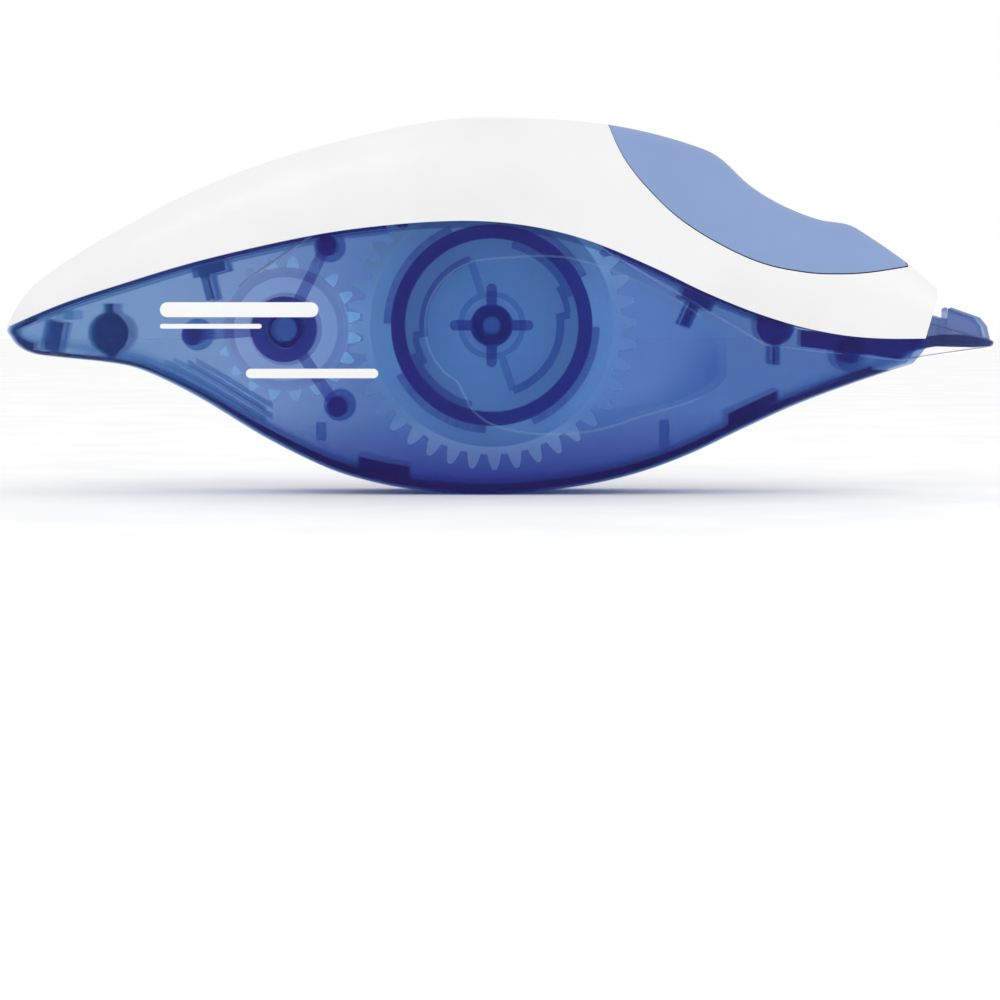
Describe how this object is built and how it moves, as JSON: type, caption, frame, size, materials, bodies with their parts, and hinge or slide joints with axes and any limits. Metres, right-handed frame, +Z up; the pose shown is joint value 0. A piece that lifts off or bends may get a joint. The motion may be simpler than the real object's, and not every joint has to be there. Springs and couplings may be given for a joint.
{
  "type": "correction tape roller",
  "caption": "Side-action correction tape roller: translucent case, top cover with soft grip, geared reels with slip clutch, applicator head.",
  "frame": {"origin": "centre of the object's box", "axes": "+X from the tail to the applicator tip, +Z up to the crown of the cover, -Y the near flat side; upright as in the picture"},
  "size_m": [0.1272, 0.018, 0.0484],
  "materials": {
    "case_blue": "translucent moulded",
    "cover_white": "satin moulded",
    "grip_rubber": "soft matte",
    "gear_natural": "natural, slightly milky",
    "reel_blue": "translucent moulded",
    "head_blue": "translucent moulded",
    "tape_white": "matte coating",
    "ribbon_film": "clear film"
  },
  "bodies": {
    "housing": {"front_case": "case_blue", "rear_case": "case_blue", "top_cover": "cover_white", "finger_grip": "grip_rubber", "supply_cap": "case_blue", "takeup_bridge": "case_blue", "applicator_head": "head_blue", "tape_run": "tape_white", "ribbon_run": "ribbon_film"},
    "supply_drive": {"supply_gear": "gear_natural", "clutch_spring": "reel_blue"},
    "supply_reel": {"supply_core": "reel_blue", "tape_roll": "tape_white"},
    "takeup_reel": {"takeup_gear": "gear_natural", "takeup_core": "gear_natural", "used_ribbon_roll": "ribbon_film"}
  },
  "joints": [
    {"name": "supply_spin", "type": "hinge", "parent": "housing", "child": "supply_drive", "pos_m": [-0.0012, 0, -0.0026], "axis": [0, 1, 0], "continuous": true},
    {"name": "clutch_slip", "type": "hinge", "parent": "supply_drive", "child": "supply_reel", "pos_m": [-0.0012, 0, -0.0026], "axis": [0, 1, 0], "continuous": true},
    {"name": "takeup_spin", "type": "hinge", "parent": "housing", "child": "takeup_reel", "pos_m": [-0.02775, 0, -0.0031], "axis": [0, 1, 0], "continuous": true}
  ],
  "couplings": [
    {"joint": "takeup_spin", "follows": "supply_spin", "ratio": -2.1053}
  ]
}
